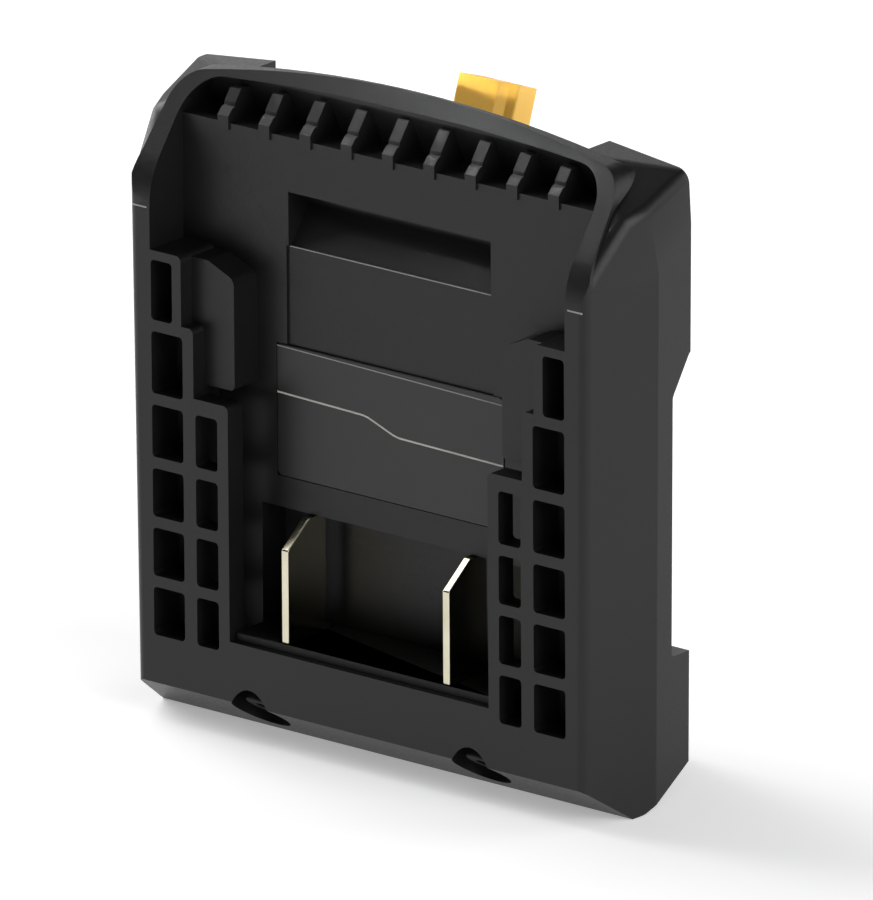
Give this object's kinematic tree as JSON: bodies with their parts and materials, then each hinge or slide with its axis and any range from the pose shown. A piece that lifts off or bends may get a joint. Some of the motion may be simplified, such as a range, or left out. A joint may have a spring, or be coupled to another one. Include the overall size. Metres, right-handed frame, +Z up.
{
  "type": "battery adapter",
  "caption": "Slide-on adapter plate for a tool battery, with a hooded ribbed bay, cored rails, two blade terminals and a keyed power connector on its back housing.",
  "frame": {"origin": "bottom centre of the bounding box: midway between the sides and between the front face and the back of the rear housing, at the level of the bottom edge", "axes": "+X to the right seen from the front, +Y from the front mating face to the back housing, +Z up towards the hood and the power connector"},
  "size_m": [0.0874, 0.034, 0.0953],
  "materials": {
    "black_abs": "fine-grained moulded black ABS",
    "label_film": "satin printed film, left blank",
    "black_nylon": "smooth glass-filled nylon",
    "nickel_plate": "nickel-plated copper",
    "yellow_nylon": "yellow moulded nylon",
    "gold_brass": "gold-flashed brass",
    "board_laminate": "green solder mask on glass laminate",
    "black_epoxy": "moulded epoxy",
    "capacitor_can": "sleeved aluminium can",
    "fuse_ceramic": "white ceramic",
    "red_silicone": "silicone insulation",
    "black_silicone": "silicone insulation",
    "black_sleeve": "heat-shrink sleeve",
    "zinc_steel": "zinc-plated steel",
    "black_steel": "blackened steel"
  },
  "bodies": {
    "root": {"front_shell": "black_abs", "rear_cover": "black_abs", "label_plate": "label_film", "terminal_block": "black_nylon", "terminal_blade_positive": "nickel_plate", "terminal_blade_negative": "nickel_plate", "connector_housing": "yellow_nylon", "connector_contact_positive": "gold_brass", "connector_contact_negative": "gold_brass", "connector_clamp": "black_nylon", "circuit_board": "board_laminate", "power_switches": "black_epoxy", "controller_chip": "black_epoxy", "filter_capacitor": "capacitor_can", "main_fuse": "fuse_ceramic", "shunt_resistor": "black_epoxy", "battery_lead_positive": "red_silicone", "battery_lead_negative": "black_silicone", "output_lead_positive": "red_silicone", "output_lead_negative": "black_silicone", "lead_sleeves": "black_sleeve", "case_screws": "zinc_steel", "lip_screws": "black_steel", "clamp_screws": "zinc_steel", "board_screws": "zinc_steel"}
  },
  "joints": []
}
